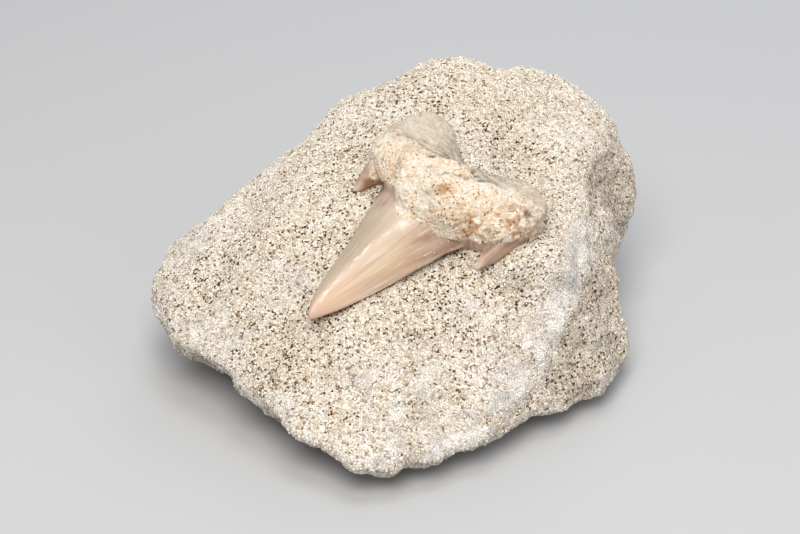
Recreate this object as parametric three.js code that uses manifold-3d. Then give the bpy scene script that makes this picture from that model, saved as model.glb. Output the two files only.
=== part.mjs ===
// A fossil shark tooth lying in a loose piece of sandy phosphate rock.
// Millimetres, +Z up. The rock stands on its flat underside at z = 0, with the middle of its outline over
// the origin. From the front, looking along +Y, the tooth points down to the left.
import * as THREE from 'three';
import { ImprovedNoise } from 'three/addons/math/ImprovedNoise.js';
import Module from 'manifold-3d';

// The rock's outline, anticlockwise from its right-hand corner. Each row is a point of the widest outline
// (x, y, z), then how far the edge of the top face lies in from it and above it, and how far in from it the
// underside ends.
const OUTLINE = [
  [42.6, 26.4, 20.2, 8, 8.5, 9],
  [42.4, 33, 24.5, 8, 7, 9],
  [39, 38.2, 29, 7, 4.5, 10],
  [33.5, 40.7, 33.5, 5, 2.4, 10],
  [24.6, 40.4, 37.9, 3.5, 1.2, 9],
  [18.6, 38.8, 38.8, 3, 0.8, 9],
  [13.1, 39.4, 41, 3, 0.6, 9],
  [8.5, 38.8, 41, 3, 0.6, 9],
  [3, 37.4, 39, 3, 0.8, 9],
  [-6.5, 35.3, 35.8, 2.5, 1, 9],
  [-12.7, 33.6, 33.5, 2.2, 1.2, 9],
  [-15.1, 29.8, 32.2, 2.2, 1.2, 9],
  [-23.8, 20.9, 26.8, 2.2, 1.4, 10],
  [-29, 17.1, 23.6, 2.2, 1.6, 11],
  [-35, 13.2, 19.3, 2.2, 2, 12],
  [-40.4, 12, 16.3, 2.2, 2.2, 14],
  [-43, 6, 13, 2.2, 2.4, 15],
  [-42.5, -0.3, 11.8, 2.2, 2.4, 15],
  [-40.3, -7, 11.2, 2, 2.2, 14],
  [-32.8, -14.8, 11, 2, 2, 13],
  [-28.2, -18, 10.8, 2, 2, 13],
  [-23.7, -26, 9.2, 2, 2.2, 14],
  [-18.3, -32.4, 8.2, 2, 2.4, 15],
  [-11.4, -36.8, 7, 2, 2.6, 16],
  [-6.6, -41, 5.6, 2, 2.6, 16],
  [-2.5, -40.6, 4.6, 2, 2.8, 16],
  [6.8, -33.6, 4.2, 2.2, 3.4, 15],
  [19.5, -27.3, 4.4, 3.5, 6.4, 14],
  [24.4, -22.6, 4.5, 4.8, 8.6, 12],
  [31.2, -17.8, 3.7, 6, 11, 10],
  [35.4, -14, 4, 7.5, 13, 9],
  [40, -4, 6, 8.5, 14, 9],
  [39, 4, 10, 8, 12.5, 9],
  [38.2, 14, 14, 7.5, 11.5, 9],
  [38.2, 20.6, 17.2, 7, 10, 9],
];
const ROCK_MIDDLE = new THREE.Vector2(4, -6);
const BELLY_BULGE = 1.2;

// The top face is a tilted, arched and slightly twisted bed, BED_HEIGHT high over the middle of the plan.
const BED_HEIGHT = 30.2;
const BED_SLOPE_X = 0.063;
const BED_SLOPE_Y = 0.42;
const BED_ARCH_X = 0.0095;
const BED_ARCH_Y = 0.0055;
const BED_TWIST = 0.0041;

// Hollows and humps of the top face: x, y, radius, height.
const SWELLS = [
  [-1, -8, 10, -1.1],
  [19, 17, 8, -2.8],
  [10, 24, 7, -1],
  [-5, 15, 6, -1.4],
  [23, -3, 6, 1],
  [27, 23, 5, 1.2],
  [34, 31, 6, 1],
  [20, 31, 5, 0.8],
  [-26, 2, 8, 0.7],
  [8, -25, 8, -1],
  [-14, -29, 7, -0.8],
  [-24, 14, 6, -0.6],
];

// Lumps of the rock's broken faces: wavelength, height. They are higher on the sides by SIDE_ROUGHNESS, and
// fade out towards the flat underside.
const ROCK_LUMPS = [
  [13, 0.9],
  [6.5, 0.7],
  [3.4, 0.4],
];
const SIDE_ROUGHNESS = 0.8;
const LUMPS_START_Z = 5;

// How finely the rock is divided: round it, across its top face, and down each third of its sides.
const ROCK_SECTORS = 96;
const TOP_ROWS = 19;
const SIDE_STEPS = 4;

// Where the tooth lies: the middle of its neck, the plan direction from its tip to its root in degrees from
// +Y towards +X, and the slopes of the plane that it lies in.
const TOOTH_NECK = new THREE.Vector3(3.2, -1.95, 28.2);
const TOOTH_HEADING = 43;
const TOOTH_SLOPE_X = 0.06;
const TOOTH_SLOPE_Y = 0.42;

// The tooth's own frame has x across it, y from tip to root and z out of the rock.
// Crown and side cusplets, from the root to the tip: y, left edge, right edge, height of the ridge.
const CROWN = [
  [5, -10.2, 9.4, 3.5],
  [1.6, -10.6, 9, 4.9],
  [-1.5, -9.1, 7.7, 5.3],
  [-5, -7.6, 6.5, 5.2],
  [-12.2, -5.2, 5, 4.3],
  [-19, -3.2, 3, 3.4],
  [-23, -1.8, 1.8, 2.7],
  [-25.2, -0.4, 1.1, 1.9],
];
const CROWN_TIP = new THREE.Vector3(0.5, -25.9, 0.9);
const LEFT_CUSPLET = [
  [4.5, -16, -10.8, 2.6],
  [1.5, -15.2, -11, 2.3],
  [-0.5, -14.3, -11.9, 1.7],
];
const LEFT_CUSPLET_TIP = new THREE.Vector3(-13, -2.3, 0.6);
const RIGHT_CUSPLET = [
  [7.5, 11.2, 16.2, 2.4],
  [4.2, 11.8, 15.9, 2.1],
  [2.2, 12.8, 15.2, 1.6],
];
const RIGHT_CUSPLET_TIP = new THREE.Vector3(14.1, 0.3, 0.5);

// Their sections are lenses: height of the cutting edges, how sharply the upper side rises from them, and
// the depth of the underside, as a share of the width and at most.
const EDGE_Z = 0.5;
const LENS_POWER = 1.9;
const UNDERSIDE_SHARE = 0.4;
const UNDERSIDE_MOST = 1.8;
const LENS_POINTS = 20;
const CROWN_ROWS = 18;
const CUSPLET_ROWS = 5;

// Root, from the left lobe to the right one: x, crown side, far side, heights of the bulge, of the saddle
// behind it and of the far crest, depth below the tooth's plane.
const ROOT = [
  [-17.6, 9, 15.5, 1.9, 1.9, 1.7, 2],
  [-16.4, 5.6, 18.2, 3.4, 3, 2.8, 3],
  [-14, 3.4, 20, 4.9, 3.6, 3.6, 3.4],
  [-10, 1.7, 19.6, 6.3, 3.5, 3.4, 3.4],
  [-6.4, 0.2, 16.8, 7.4, 5, 3.4, 3.4],
  [-2.4, -1.6, 14.8, 8.2, 6.9, 4.6, 3.4],
  [1.8, -1.5, 15.4, 8.4, 7.4, 5.2, 3.6],
  [6, 0.4, 17.6, 7.6, 6.8, 4.8, 4],
  [10, 2.8, 19.2, 6.4, 5.7, 4, 4.6],
  [13.4, 4.9, 17.6, 5.2, 4.8, 3.5, 4.6],
  [15.6, 7.3, 15, 3.7, 3.6, 2.8, 4],
  [16.5, 9.2, 12.8, 2.3, 2.2, 1.9, 3],
];

// The root's section, from the crown side over the top: share of the way across, then shares of the bulge,
// of the saddle, of the crest and of the depth.
const ROOT_SECTION = [
  [0, 0.4, 0, 0, 0],
  [0.1, 0.88, 0, 0, 0],
  [0.3, 1, 0, 0, 0],
  [0.58, 0, 1, 0, 0],
  [0.84, 0, 0, 1, 0],
  [1, 0, 0, 0.15, 0],
  [0.78, 0, 0, 0, -1],
  [0.15, 0, 0, 0, -0.9],
];
const ROOT_ROWS = 26;
const ROOT_POINTS = 26;
const ROOT_LUMPS = [
  [6, 0.5],
  [2.6, 0.25],
];

// Clear space between the tooth and its bed in the rock.
const BED_GAP = 0.3;

const { lerp, smoothstep } = THREE.MathUtils;
const noise = new ImprovedNoise();
const wasm = await Module();
wasm.setup();

// A closed skin over rings of equal count, from one end point to the other. Seen from outside the first
// end, each ring runs anticlockwise.
function loft(rings, firstEnd, lastEnd) {
  const count = rings[0].length;
  const first = rings.length * count;
  const last = first + 1;
  const faces = [];
  for (let column = 0; column < count; column += 1) {
    const next = (column + 1) % count;
    faces.push(first, column, next);
    for (let near = 0; near + count < first; near += count) {
      const far = near + count;
      faces.push(near + column, far + column, far + next);
      faces.push(near + column, far + next, near + next);
    }
    faces.push(last, first - count + next, first - count + column);
  }
  const geometry = new THREE.BufferGeometry().setFromPoints([...rings.flat(), firstEnd, lastEnd]);
  geometry.setIndex(faces);
  return geometry;
}

// Moves each point of a skin out along its normal by the distance that outBy gives for the two.
function swell(geometry, outBy) {
  geometry.computeVertexNormals();
  const place = geometry.attributes.position;
  const normal = geometry.attributes.normal;
  const point = new THREE.Vector3();
  const out = new THREE.Vector3();
  for (let i = 0; i < place.count; i += 1) {
    point.fromBufferAttribute(place, i);
    out.fromBufferAttribute(normal, i);
    point.addScaledVector(out, outBy(point, out));
    place.setXYZ(i, point.x, point.y, point.z);
  }
  return geometry;
}

function lumps(point, octaves) {
  let height = 0;
  for (const [wavelength, amplitude] of octaves) {
    height += amplitude * noise.noise(point.x / wavelength, point.y / wavelength, point.z / wavelength);
  }
  return height;
}

function smoothLine(points, steps) {
  return new THREE.CatmullRomCurve3(points).getPoints(steps);
}

function smoothRing(points, count) {
  return new THREE.CatmullRomCurve3(points, true).getPoints(count).slice(0, count);
}

function middleOf(ring) {
  return new THREE.Box3().setFromPoints(ring).getCenter(new THREE.Vector3());
}

function solidOf(geometry) {
  const vertProperties = new Float32Array(geometry.attributes.position.array);
  const triVerts = new Uint32Array(geometry.index.array);
  return new wasm.Manifold(new wasm.Mesh({ numProp: 3, vertProperties, triVerts }));
}

function geometryOf(solid) {
  const { vertProperties, triVerts } = solid.getMesh();
  const geometry = new THREE.BufferGeometry();
  geometry.setAttribute('position', new THREE.BufferAttribute(vertProperties, 3));
  geometry.setIndex(new THREE.BufferAttribute(triVerts, 1));
  geometry.computeVertexNormals();
  return geometry;
}

// Height of the rock's top face over a point.
function bedHeight(x, y) {
  let height = BED_HEIGHT + BED_SLOPE_X * x + BED_SLOPE_Y * y;
  height += BED_TWIST * x * y - BED_ARCH_X * x * x - BED_ARCH_Y * y * y;
  for (const [swellX, swellY, radius, rise] of SWELLS) {
    const reach = Math.hypot(x - swellX, y - swellY) / radius;
    height += rise * Math.exp(-reach * reach);
  }
  return height;
}

// A row of the outline as points down the rock's side: edge of the top face, widest point, belly, foot.
function sidePoints([x, y, z, edgeIn, edgeUp, footIn]) {
  const inward = new THREE.Vector3(ROCK_MIDDLE.x - x, ROCK_MIDDLE.y - y, 0).normalize();
  const rim = new THREE.Vector3(x, y, z);
  const edge = rim.clone().addScaledVector(inward, edgeIn).setZ(z + edgeUp);
  const foot = rim.clone().addScaledVector(inward, footIn).setZ(0);
  const belly = rim.clone().lerp(foot, 0.5).addScaledVector(inward, -BELLY_BULGE);
  return [edge, rim, belly, foot];
}

// The rock before the tooth's bed is cut: top face, broken sides and flat underside.
function rockSkin() {
  const rows = OUTLINE.map(sidePoints);
  const lines = rows[0].map((_, level) => smoothRing(rows.map((row) => row[level]), ROCK_SECTORS));
  const edges = lines[0];
  const sideSteps = SIDE_STEPS * (lines.length - 1);
  const sides = edges.map((_, sector) => smoothLine(lines.map((line) => line[sector]), sideSteps));
  const rings = [];
  for (let row = 1; row < TOP_ROWS; row += 1) {
    const reach = row / TOP_ROWS;
    rings.push(edges.map((edge) => {
      const x = lerp(ROCK_MIDDLE.x, edge.x, reach);
      const y = lerp(ROCK_MIDDLE.y, edge.y, reach);
      const toEdge = (edge.z - bedHeight(edge.x, edge.y)) * reach ** 3;
      return new THREE.Vector3(x, y, bedHeight(x, y) + toEdge);
    }));
  }
  for (let row = 0; row <= sideSteps; row += 1) {
    rings.push(sides.map((side) => side[row]));
  }
  const { x, y } = ROCK_MIDDLE;
  const skin = loft(rings, new THREE.Vector3(x, y, bedHeight(x, y)), new THREE.Vector3(x, y, 0));
  return swell(skin, (point, out) => {
    const roughness = 1 + SIDE_ROUGHNESS * (1 - Math.max(0, out.z));
    return lumps(point, ROCK_LUMPS) * roughness * smoothstep(point.z, 0, LUMPS_START_Z);
  });
}

// A ring round the crown or a cusplet: from the left edge over the ridge to the right one, and back below.
function lensRing(left, right, ridge) {
  const depth = Math.min(UNDERSIDE_MOST, UNDERSIDE_SHARE * left.distanceTo(right));
  const ring = [];
  for (let step = 0; step < LENS_POINTS; step += 1) {
    const turn = (step / LENS_POINTS) * 2 * Math.PI;
    const side = -Math.cos(turn);
    const rise = 1 - Math.abs(side) ** LENS_POWER;
    const point = left.clone().lerp(right, (side + 1) / 2);
    point.z += Math.sin(turn) > 0 ? (ridge.z - EDGE_Z) * rise : -depth * rise;
    ring.push(point);
  }
  return ring;
}

function lensSkin(stations, tip, rows) {
  const left = smoothLine(stations.map(([y, x]) => new THREE.Vector3(x, y, EDGE_Z)), rows);
  const right = smoothLine(stations.map(([y, , x]) => new THREE.Vector3(x, y, EDGE_Z)), rows);
  const ridge = smoothLine(stations.map(([y, , , z]) => new THREE.Vector3(0, y, z)), rows);
  const rings = left.map((_, row) => lensRing(left[row], right[row], ridge[row]));
  return loft(rings, middleOf(rings[0]), tip);
}

function rootSkin() {
  const rails = ROOT_SECTION.map(([way, ...shares]) => {
    const points = ROOT.map(([x, near, far, ...heights]) => {
      const z = shares.reduce((sum, share, i) => sum + share * heights[i], 0);
      return new THREE.Vector3(x, lerp(near, far, way), z);
    });
    return smoothLine(points, ROOT_ROWS);
  });
  const rings = rails[0].map((_, row) => smoothRing(rails.map((rail) => rail[row]), ROOT_POINTS));
  const skin = loft(rings, middleOf(rings[0]), middleOf(rings[ROOT_ROWS]));
  return swell(skin, (point) => lumps(point, ROOT_LUMPS));
}

// Crown, cusplets and root as one solid, larger all round by the given amount.
function toothSolid(grownBy) {
  const skins = [
    lensSkin(CROWN, CROWN_TIP, CROWN_ROWS),
    lensSkin(LEFT_CUSPLET, LEFT_CUSPLET_TIP, CUSPLET_ROWS),
    lensSkin(RIGHT_CUSPLET, RIGHT_CUSPLET_TIP, CUSPLET_ROWS),
    rootSkin(),
  ];
  const solids = skins.map((skin) => solidOf(swell(skin, () => grownBy)));
  return solids.reduce((whole, solid) => whole.add(solid));
}

// The plane that the tooth lies in, with its axes across and along the tooth.
const toothPlace = new THREE.Group();
const heading = THREE.MathUtils.degToRad(TOOTH_HEADING);
const outwards = new THREE.Vector3(-TOOTH_SLOPE_X, -TOOTH_SLOPE_Y, 1).normalize();
const across = new THREE.Vector3(Math.sin(heading), Math.cos(heading), 0).cross(outwards).normalize();
const along = outwards.clone().cross(across);
toothPlace.quaternion.setFromRotationMatrix(new THREE.Matrix4().makeBasis(across, along, outwards));
toothPlace.position.copy(TOOTH_NECK);
toothPlace.updateMatrix();

const tooth = new THREE.Mesh(
  geometryOf(toothSolid(0)),
  new THREE.MeshStandardMaterial({ color: '#d3b49a', roughness: 0.35, metalness: 0 }),
);
tooth.name = 'tooth';
toothPlace.add(tooth);

const toothBed = geometryOf(toothSolid(BED_GAP)).applyMatrix4(toothPlace.matrix);
const rock = new THREE.Mesh(
  geometryOf(solidOf(rockSkin()).subtract(solidOf(toothBed))),
  new THREE.MeshStandardMaterial({ color: '#d6c7ac', roughness: 0.95, metalness: 0 }),
);
rock.name = 'rock';

// The whole, moved so that the middle of the rock's outline is over the origin.
const fossil = new THREE.Group();
fossil.add(rock, toothPlace);
const outlineMiddle = new THREE.Box3().setFromObject(rock).getCenter(new THREE.Vector3());
fossil.position.set(-outlineMiddle.x, -outlineMiddle.y, 0);

export default fossil;
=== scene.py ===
import math
from types import SimpleNamespace

import bmesh
import bpy
import numpy as np
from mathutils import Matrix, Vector, noise
from mathutils.bvhtree import BVHTree


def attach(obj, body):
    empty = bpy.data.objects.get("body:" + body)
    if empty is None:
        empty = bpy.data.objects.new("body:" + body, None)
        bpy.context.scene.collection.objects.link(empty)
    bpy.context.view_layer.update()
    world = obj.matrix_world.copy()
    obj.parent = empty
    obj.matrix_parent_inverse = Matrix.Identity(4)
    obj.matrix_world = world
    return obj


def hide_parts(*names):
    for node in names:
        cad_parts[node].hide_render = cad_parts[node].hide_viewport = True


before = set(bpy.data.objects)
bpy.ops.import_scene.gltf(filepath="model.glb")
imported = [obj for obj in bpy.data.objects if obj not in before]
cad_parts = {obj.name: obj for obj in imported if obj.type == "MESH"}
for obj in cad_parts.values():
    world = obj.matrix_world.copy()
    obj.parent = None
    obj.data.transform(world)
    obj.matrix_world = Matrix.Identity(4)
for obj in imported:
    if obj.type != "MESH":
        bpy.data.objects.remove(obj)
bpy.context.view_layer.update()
mm = 0.001


# Small helpers for meshes, nodes and colours

def linear(code):
    # sRGB hex to the linear colour that a socket wants
    values = [int(code[i:i + 2], 16) / 255 for i in (1, 3, 5)]
    return [v / 12.92 if v < 0.04045 else ((v + 0.055) / 1.055) ** 2.4 for v in values] + [1]


def every(size):
    # texture scale for a pattern that repeats every so many millimetres
    return 1 / (size * mm)


def addNode(tree, kind, inputs=None, stops=None, **settings):
    node = tree.nodes.new(kind)
    for name, value in settings.items():
        setattr(node, name, value)
    for socket, value in (inputs or {}).items():
        if isinstance(value, bpy.types.NodeSocket):
            tree.links.new(value, node.inputs[socket])
        else:
            node.inputs[socket].default_value = value
    for i, (place, code) in enumerate(stops or []):
        ramp = node.color_ramp.elements
        stop = ramp[i] if i < 2 else ramp.new(place)
        stop.position = place
        stop.color = linear(code)
    return node


def smoothStep(low, high, value):
    share = np.clip((value - low) / (high - low), 0, 1)
    return share * share * (3 - 2 * share)


def solidCopy(node):
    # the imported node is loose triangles, so its corners are welded first
    made = bmesh.new()
    made.from_mesh(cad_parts[node].data)
    bmesh.ops.remove_doubles(made, verts=made.verts, dist=0.002 * mm)
    return made


def plainMesh(piece):
    depsgraph = bpy.context.evaluated_depsgraph_get()
    made = bpy.data.meshes.new_from_object(piece.evaluated_get(depsgraph))
    piece.modifiers.clear()
    piece.data = made
    made.name = piece.name


def evenPiece(name, shape, voxel):
    # a piece whose skin is an even grid of small faces, fine enough to carve
    mesh = bpy.data.meshes.new(name)
    shape.to_mesh(mesh)
    shape.free()
    piece = bpy.data.objects.new(name, mesh)
    bpy.context.collection.objects.link(piece)
    grid = piece.modifiers.new("even grid", "REMESH")
    grid.mode = "VOXEL"
    grid.voxel_size = voxel
    grid.use_smooth_shade = True
    plainMesh(piece)
    return piece


def pointsOf(mesh):
    points = np.empty(len(mesh.vertices) * 3)
    mesh.vertices.foreach_get("co", points)
    return points.reshape(-1, 3)


def normalsOf(mesh):
    normals = np.empty(len(mesh.vertices) * 3, dtype=np.float32)
    mesh.vertex_normals.foreach_get("vector", normals)
    return normals.reshape(-1, 3).astype(float)


def setPoints(mesh, points):
    mesh.vertices.foreach_set("co", points.ravel())
    mesh.update()


def relaxed(mesh, points, turns):
    # each turn moves every point half way to the middle of its neighbours
    ends = np.empty(len(mesh.edges) * 2, dtype=np.int64)
    mesh.edges.foreach_get("vertices", ends)
    one, other = ends.reshape(-1, 2).T
    count = np.bincount(ends, minlength=len(points))
    for turn in range(turns):
        middle = np.empty_like(points)
        for axis in range(3):
            total = np.bincount(one, points[other, axis], len(points))
            total += np.bincount(other, points[one, axis], len(points))
            middle[:, axis] = total / count
        points = (points + middle) / 2
    return points


def waves(points, size, seed, octaves=2):
    # soft lumps between about -1 and 1, size apart
    shift = Vector((seed * 7.3, seed * 3.1, seed * 5.7))
    scaled = points / (size * mm)
    return np.array([noise.fractal(Vector(p) + shift, 1, 2, octaves) for p in scaled])


def pockets(points, size, seed):
    # 1 in the middle of scattered cells, 0 at their walls
    shift = Vector((seed * 2.9, seed * 8.3, seed * 4.1))
    scaled = points / (size * mm)
    return np.array([1 - min(1, noise.voronoi(Vector(p) + shift)[0][0] * 1.6) for p in scaled])


def setAttribute(mesh, name, values):
    kind, field = ("FLOAT", "value") if values.ndim == 1 else ("FLOAT_VECTOR", "vector")
    layer = mesh.attributes.new(name, kind, "POINT")
    layer.data.foreach_set(field, values.astype(np.float32).ravel())


def newMaterial(name):
    material = bpy.data.materials.new(name)
    material.use_nodes = True
    material.node_tree.nodes.clear()
    return material, material.node_tree


# Sand and rock materials

sandLook = {
    "grain": 0.42,          # mm, medium sand
    "dark": "#463220",      # phosphate pellets
    "brown": "#86684a",
    "tan": "#c5b59f",
    "cream": "#dbd1c0",
    "pale": "#efe9df",
    "white": "#fcf9f4",     # crushed shell
    "bruise": "#f4f1ec",    # powdered sand where the rock was knocked
    "bruiseGrey": "#cfccc8",
    "sideShadeTint": "#a69e93",  # painted shade on steep sides, the right face and the hollow behind the root
    "gap": "#7b6447",       # shade between grains
    "roughness": 0.92,
    "grainRoughness": 0.7,
}


def sandColour(tree, place, tone):
    # dark pellets are few, and more of them lie where the surface is pitted
    pits = addNode(tree, "ShaderNodeAttribute", attribute_name="pits").outputs["Fac"]
    worn = addNode(tree, "ShaderNodeAttribute", attribute_name="worn").outputs["Fac"]
    side = addNode(tree, "ShaderNodeAttribute", attribute_name="side").outputs["Fac"]
    shift = addNode(tree, "ShaderNodeMath", {0: pits, 1: -0.13, 2: 0.04}, operation="MULTIPLY_ADD")
    toned = addNode(tree, "ShaderNodeMath", {0: tone, 1: shift.outputs[0]}, operation="ADD")
    grains = addNode(tree, "ShaderNodeValToRGB", {0: toned.outputs[0]}, stops=[
        (0.0, sandLook["dark"]), (1.0, sandLook["white"]), (0.03, sandLook["brown"]),
        (0.12, sandLook["tan"]), (0.4, sandLook["cream"]), (0.75, sandLook["pale"])])
    drift = addNode(tree, "ShaderNodeTexNoise", {"Vector": place, "Scale": every(11), "Detail": 3})
    stain = addNode(tree, "ShaderNodeMapRange", {0: drift.outputs["Fac"], 1: 0.35, 2: 0.7, 3: 0.0, 4: 0.35})
    tinted = addNode(tree, "ShaderNodeMixRGB", {
        0: stain.outputs[0], 1: grains.outputs[0], 2: linear(sandLook["cream"])}, blend_type="MULTIPLY")
    # painted shade: the side mask darkens steep sides, the right face and the hollow behind the root
    sided = addNode(tree, "ShaderNodeMixRGB", {
        0: side, 1: tinted.outputs[0], 2: linear(sandLook["sideShadeTint"])}, blend_type="MULTIPLY")
    powder = addNode(tree, "ShaderNodeTexNoise", {"Vector": place, "Scale": every(3.5), "Detail": 5})
    bruise = addNode(tree, "ShaderNodeValToRGB", {0: powder.outputs["Fac"]}, stops=[
        (0.38, sandLook["bruiseGrey"]), (0.55, sandLook["bruise"])])
    hold = addNode(tree, "ShaderNodeMath", {0: tone, 1: 0.9, 2: 0.55}, operation="MULTIPLY_ADD")
    dusted = addNode(tree, "ShaderNodeMath", {
        0: hold.outputs[0], 1: worn}, operation="MULTIPLY", use_clamp=True)
    return addNode(tree, "ShaderNodeMixRGB", {
        0: dusted.outputs[0], 1: sided.outputs[0], 2: bruise.outputs[0]}).outputs[0]


def sandyRock():
    # phosphate sandstone, broken by hand: dull, chalky, every grain its own tone, dark between grains
    material, tree = newMaterial("sandyRock")
    place = addNode(tree, "ShaderNodeTexCoord").outputs["Object"]
    cells = addNode(tree, "ShaderNodeTexVoronoi", {"Vector": place, "Scale": every(sandLook["grain"])})
    tone = addNode(tree, "ShaderNodeSeparateColor", {0: cells.outputs["Color"]})
    colour = sandColour(tree, place, tone.outputs[0])
    walls = addNode(tree, "ShaderNodeTexVoronoi", {
        "Vector": place, "Scale": every(sandLook["grain"])}, feature="DISTANCE_TO_EDGE")
    gaps = addNode(tree, "ShaderNodeMapRange", {
        0: walls.outputs["Distance"], 1: 0.02, 2: 0.16, 3: 0.55, 4: 0.0})
    shaded = addNode(tree, "ShaderNodeMixRGB", {
        0: gaps.outputs[0], 1: colour, 2: linear(sandLook["gap"])}, blend_type="MULTIPLY")
    relief = addNode(tree, "ShaderNodeBump", {
        "Height": walls.outputs["Distance"], "Strength": 0.8, "Distance": 0.25 * mm})
    surface = addNode(tree, "ShaderNodeBsdfPrincipled", {
        "Base Color": shaded.outputs[0], "Roughness": sandLook["roughness"], "Normal": relief.outputs[0],
        "Specular IOR Level": 0.25})
    addNode(tree, "ShaderNodeOutputMaterial", {"Surface": surface.outputs[0]})
    return material


def looseSand():
    # single sand grains, quartz and phosphate: the same tones, a little less dull than the rock
    material, tree = newMaterial("looseSand")
    place = addNode(tree, "ShaderNodeTexCoord").outputs["Object"]
    tone = addNode(tree, "ShaderNodeAttribute", attribute_name="tone").outputs["Fac"]
    surface = addNode(tree, "ShaderNodeBsdfPrincipled", {
        "Base Color": sandColour(tree, place, tone), "Roughness": sandLook["grainRoughness"],
        "Specular IOR Level": 0.3})
    addNode(tree, "ShaderNodeOutputMaterial", {"Surface": surface.outputs[0]})
    return material


# Tooth place: the middle of its neck, and its axes across, along towards the root, and out of the rock

toothPlace = {
    "neck": (2.97, -2.09, 28.2),
    "heading": 43,          # degrees from +Y towards +X
    "slopes": (0.06, 0.42),  # rise of the tooth along +X and +Y
    "crownLength": 26,      # mm from neck to tip
    # where enamel ends and root begins, left to right: x, y, z
    "neckLine": [(-16, 5, 1.5), (-13.4, 2.4, 2.2), (-12.5, 0.9, 2), (-11.9, 1.6, 1.8), (-10.2, 1.7, 3),
                 (-9.3, 1.5, 3.4), (-6.6, 0.9, 5), (-5.6, 0.8, 5.8), (-3.6, -1.4, 5.3), (-2.4, -2.7, 5),
                 (-0.6, -3, 5.2), (2.1, -1.4, 4.7), (4.5, -0.5, 3.6), (6.6, 0.2, 2.4), (8.3, 1.8, 2),
                 (9.7, 2.6, 2.5), (11.2, 3.5, 2.2), (13.5, 5, 2.5), (14.5, 6, 2.8), (16, 8, 3)],
    # where the root's front turns over to its grey back: x, y
    "crestLine": [(-16, 8), (-13.8, 9.6), (-11.6, 11.2), (-7.8, 10.5), (-4.5, 10.8), (-2.9, 11.6),
                  (0.2, 11.5), (3.7, 10.2), (7, 12), (9.7, 13.6), (13.7, 14.8), (17, 17)],
    # ridge of the crown, and cracks along the root's crest: x, y
    "crownRidge": [(0.5, -3.2), (0.2, -6.2), (-0.5, -9.5), (-0.3, -15.4), (-0.1, -19.8), (0.3, -22.7)],
    "cracks": [[(-6, 9.9), (-3.9, 10.7), (-2.6, 12), (-0.1, 12.5), (3.6, 11)],
               [(-0.2, 5.8), (0.3, 7.9), (2, 9), (3.5, 9.6)],
               [(4.5, 10.5), (6, 12.2), (8.5, 12.6)]],
    "valley": [(-11.5, 8.5), (-9.2, 4.4), (-8.1, 2.7), (-7.3, 1.9)],    # right of the root's left shoulder
    # places along the crown and its half width there: y, half width
    "crownEdges": [(-25.9, 0.3), (-23, 1.8), (-19, 3.1), (-12.2, 5.1), (-5, 7), (1.6, 9.8)],
}
heading = math.radians(toothPlace["heading"])
outward = Vector((-toothPlace["slopes"][0], -toothPlace["slopes"][1], 1)).normalized()
across = Vector((math.sin(heading), math.cos(heading), 0)).cross(outward).normalized()
along = outward.cross(across)


def toothLocal(points):
    # points in the tooth's own millimetres: across, along, outward
    return (points / mm - np.array(toothPlace["neck"])) @ np.array([across, along, outward]).T


# Rock

rockLook = {
    "voxel": 0.45 * mm,
    "pocketReach": 0.45 * mm,   # the tooth's bed lies closer to it than this
    "pocketTurns": 150,
    "facetTurns": 12,           # rounds the solid's facets
    "edgeTurns": 70,            # a rounder copy, to tell edges from flat faces
    "flatFrom": 0.4 * mm,       # the underside stays flat, and the skin is free above it
    "flatTo": 3 * mm,
    "steep": (0.15, 0.6),       # upward share of the normal, from sides to top
    # size mm, height mm, octaves, how much taller on the sides
    "lumps": [(15, 0.3, 2, 1), (7, 0.4, 2, 1), (2.6, 0.3, 3, 0.7), (0.95, 0.18, 2, 0.2)],
    "dents": (1.7, 0.3),        # size, depth
    "dentPatches": 9,           # mm between patches with dents
    "chips": (13, 1),           # broken back: size, depth
    "backFrom": (-5, 10),       # y over which the back begins
    "collar": (1.2, -0.6, 0.3),     # reach, and rise of the sand beside the crown and beside the root
    # sand banked against the tooth, in the tooth's mm: x, y, half width, half length, rise
    "banks": [(18.8, 10, 4, 5, 5), (16.8, 4.6, 2.2, 2.8, 2.8), (-13.6, -2, 1.5, 1.5, 1.2),
              (-10.6, -0.9, 1.3, 1.1, 0.3), (3, 17.5, 12, 2, 0.6)],
    # patches in the plan, mm: x, y, radius
    "pitted": [(9, -14, 9), (-13, -5, 8), (-20, -21, 10), (-7, 13, 5), (17, 17, 6), (22, 2, 5),
               (-30, -2, 6), (3, 27, 7), (20, -12, 3.5)],
    "smoothed": [(26, 30, 10)],
    "bruised": [(-34, 8, 6), (-29, -15, 5), (12, -16, 3), (20, -20, 4), (7, -32, 4), (36, 34, 5),
                (29, 25, 4), (-24, 18, 5), (-18, -10, 4), (3, -27, 4), (-30, -11, 3),
                (-21, -7, 3), (-5, -27, 3), (-2, -32, 3), (-14, -34.5, 3)],
    "paintedShadow": [(19, 18, 6), (10, 16, 4)],      # painted shadow in the hollow behind the root
    # ridge at the right, from back to front
    "ridge": [(33, 4), (31.2, -1), (29.7, -5.8), (27.4, -12), (25.6, -15.8), (24, -17.3),
              (22.8, -20.1), (20.2, -22.5), (18.5, -24.9), (16.4, -28.6), (13.3, -31.7),
              (8.2, -35), (-0.3, -39.5)],
    "ridgeRise": (0.8, 6, 1.2),     # rise, and reach towards the tooth and towards the right face
    "ridgeWorn": (3.8, 0.7),        # reach of the powder on it, both ways
    "notch": (1, 8),                # y over which the darker right face ends
    # back left edge and front left edge, knocked pale
    "knocked": [[(-40, 11), (-29, 15), (-20, 22), (-14, 31), (-6, 34)],
                [(-42, 0), (-38, -7), (-30, -16), (-24, -25), (-12, -36), (-4, -40)]],
    "knockedReach": 2.4,
    "mottle": 3.2,                  # mm between patches of powder
    "pitReach": 2.5,                # sand this close to the tooth is pitted
    "sideShade": 0.32,                   # how far the painted shade darkens the steep sides, the right face and the hollow behind the root
}


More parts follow.
